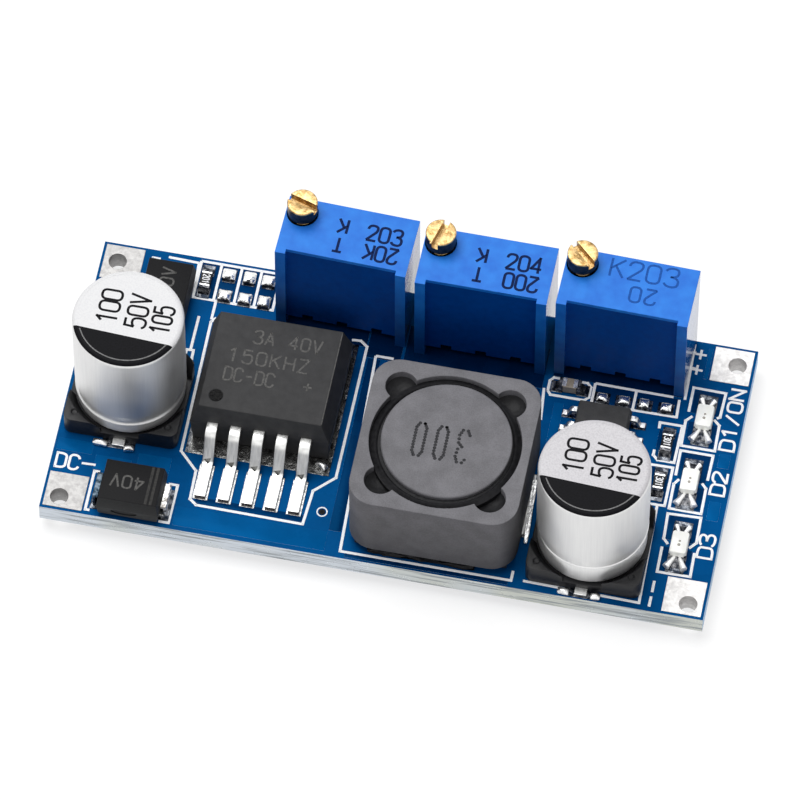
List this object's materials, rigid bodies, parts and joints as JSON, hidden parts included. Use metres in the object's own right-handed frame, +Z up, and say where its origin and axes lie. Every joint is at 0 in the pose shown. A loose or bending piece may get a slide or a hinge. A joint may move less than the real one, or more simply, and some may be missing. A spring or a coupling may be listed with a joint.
{
  "type": "buck converter module",
  "caption": "Small blue step-down converter board with two electrolytic capacitors, a shielded inductor, a five-lead regulator and a row of multi-turn trimmers.",
  "frame": {"origin": "under the centre of the board, on the plane of the trimmers' cut pins", "axes": "+X along the board towards its output end, +Y to the edge with the trimmers, +Z up"},
  "size_m": [0.048, 0.0231, 0.0137],
  "materials": {
    "solder_mask": "glossy blue solder mask over glass-epoxy laminate",
    "tinned": "bright mottled tin",
    "solder": "bright solder",
    "lead_tin": "matt tin plating on copper",
    "copper_tab": "tin-plated copper",
    "black_epoxy": "matt moulded epoxy",
    "can": "satin drawn aluminium with a printed top",
    "black_base": "matt moulded plastic",
    "ferrite": "fine-grained pressed ferrite",
    "winding": "enamelled copper wire",
    "glue": "dark cured epoxy",
    "trimmer_blue": "satin moulded thermoplastic",
    "potting": "smooth cast epoxy",
    "screw_brass": "turned brass",
    "seal_rubber": "matt rubber",
    "lamp_base": "white laminate",
    "lamp_lens": "clear moulded resin",
    "resistor": "black glazed ceramic",
    "ceramic": "brown fired ceramic"
  },
  "bodies": {
    "root": {"board": "solder_mask", "terminal_pads": "tinned", "tinned_lands": "tinned", "regulator_body": "black_epoxy", "regulator_tab": "copper_tab", "inductor_shield": "ferrite", "inductor_core": "ferrite", "inductor_winding": "winding", "inductor_glue": "glue", "inductor_base": "black_base", "inductor_terminals": "lead_tin", "trimmer_joints": "solder", "opamp_body": "black_epoxy", "opamp_leads": "lead_tin", "chip_resistors": "resistor", "chip_end_caps": "lead_tin", "chip_capacitor": "ceramic", "solder_fillets": "solder", "regulator_lead_1": "lead_tin", "regulator_lead_2": "lead_tin", "regulator_lead_3": "lead_tin", "regulator_lead_4": "lead_tin", "regulator_lead_5": "lead_tin", "input_capacitor_can": "can", "input_capacitor_base": "black_base", "input_capacitor_terminals": "lead_tin", "output_capacitor_can": "can", "output_capacitor_base": "black_base", "output_capacitor_terminals": "lead_tin", "catch_diode_body": "black_epoxy", "catch_diode_terminals": "lead_tin", "input_diode_body": "black_epoxy", "input_diode_terminals": "lead_tin", "trimmer_1_housing": "trimmer_blue", "trimmer_1_potting": "potting", "trimmer_1_pins": "lead_tin", "led_1_base": "lamp_base", "led_1_lens": "lamp_lens", "led_1_terminals": "lead_tin", "trimmer_2_housing": "trimmer_blue", "trimmer_2_potting": "potting", "trimmer_2_pins": "lead_tin", "led_2_base": "lamp_base", "led_2_lens": "lamp_lens", "led_2_terminals": "lead_tin", "trimmer_3_housing": "trimmer_blue", "trimmer_3_potting": "potting", "trimmer_3_pins": "lead_tin", "led_3_base": "lamp_base", "led_3_lens": "lamp_lens", "led_3_terminals": "lead_tin"},
    "adjuster_1": {"trimmer_1_screw": "screw_brass", "trimmer_1_seal": "seal_rubber"},
    "adjuster_2": {"trimmer_2_screw": "screw_brass", "trimmer_2_seal": "seal_rubber"},
    "adjuster_3": {"trimmer_3_screw": "screw_brass", "trimmer_3_seal": "seal_rubber"}
  },
  "joints": [
    {"name": "adjuster_1_turn", "type": "hinge", "parent": "root", "child": "adjuster_1", "pos_m": [-0.00921, 0.0106, 0.01224], "axis": [0, 0, 1], "continuous": true},
    {"name": "adjuster_2_turn", "type": "hinge", "parent": "root", "child": "adjuster_2", "pos_m": [0.00095, 0.01004, 0.01224], "axis": [0, 0, 1], "continuous": true},
    {"name": "adjuster_3_turn", "type": "hinge", "parent": "root", "child": "adjuster_3", "pos_m": [0.01115, 0.0103, 0.01224], "axis": [0, 0, 1], "continuous": true}
  ]
}
